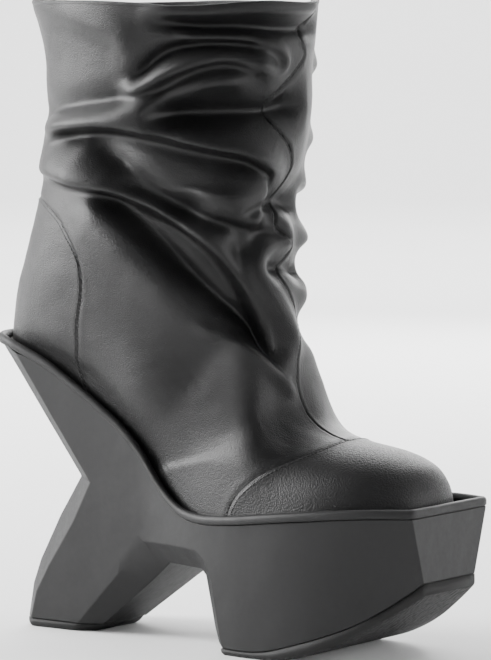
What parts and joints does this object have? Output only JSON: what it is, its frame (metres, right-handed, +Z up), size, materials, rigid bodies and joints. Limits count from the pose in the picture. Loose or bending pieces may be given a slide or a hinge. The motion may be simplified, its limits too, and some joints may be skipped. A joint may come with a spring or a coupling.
{
  "type": "platform ankle boot",
  "caption": "Slouched pull-on ankle boot with a wide folded shaft, a pebbled toe cap and a K-shaped platform sole cut away under the arch.",
  "frame": {"origin": "on the ground, under the middle of the boot's bounding box", "axes": "+Z up the shaft, +X towards the toe, -Y towards the outer (lateral) side"},
  "size_m": [0.254, 0.105, 0.305],
  "materials": {
    "upper_leather": "soft fine-grained black leather with a low sheen",
    "pebbled_leather": "black leather with a coarser pebbled grain",
    "sole_unit": "matt moulded black polyurethane",
    "outsole_rubber": "black rubber with a pebbled tread",
    "lining_leather": "matt black lining leather",
    "stiffener": "thermoplastic stiffener sheet",
    "interlining": "thin brushed cotton interlining",
    "board": "brown fibre insole board",
    "foam": "grey latex foam",
    "cork": "granulated cork bottom filler",
    "steel": "plain steel"
  },
  "bodies": {
    "root": {"platform_unit": "sole_unit", "heel_top_lift": "outsole_rubber", "forefoot_outsole": "outsole_rubber", "rim_band": "sole_unit", "steel_shank": "steel", "cork_filler": "cork", "insole_board": "board", "heel_seat_nail_1": "steel", "heel_seat_nail_2": "steel", "heel_seat_nail_3": "steel", "heel_seat_nail_4": "steel", "shank_rivet_1": "steel", "shank_rivet_2": "steel", "footbed_foam": "foam", "heel_pad": "foam", "sock_lining": "lining_leather", "toe_cap": "pebbled_leather", "heel_panel": "upper_leather", "side_panel_lateral": "upper_leather", "side_panel_medial": "upper_leather", "collar_facing": "upper_leather", "toe_puff": "stiffener", "heel_counter": "stiffener", "interlining_lateral": "interlining", "interlining_medial": "interlining", "vamp_lining": "lining_leather", "heel_lining": "lining_leather", "quarter_lining_lateral": "lining_leather", "quarter_lining_medial": "lining_leather"}
  },
  "joints": []
}
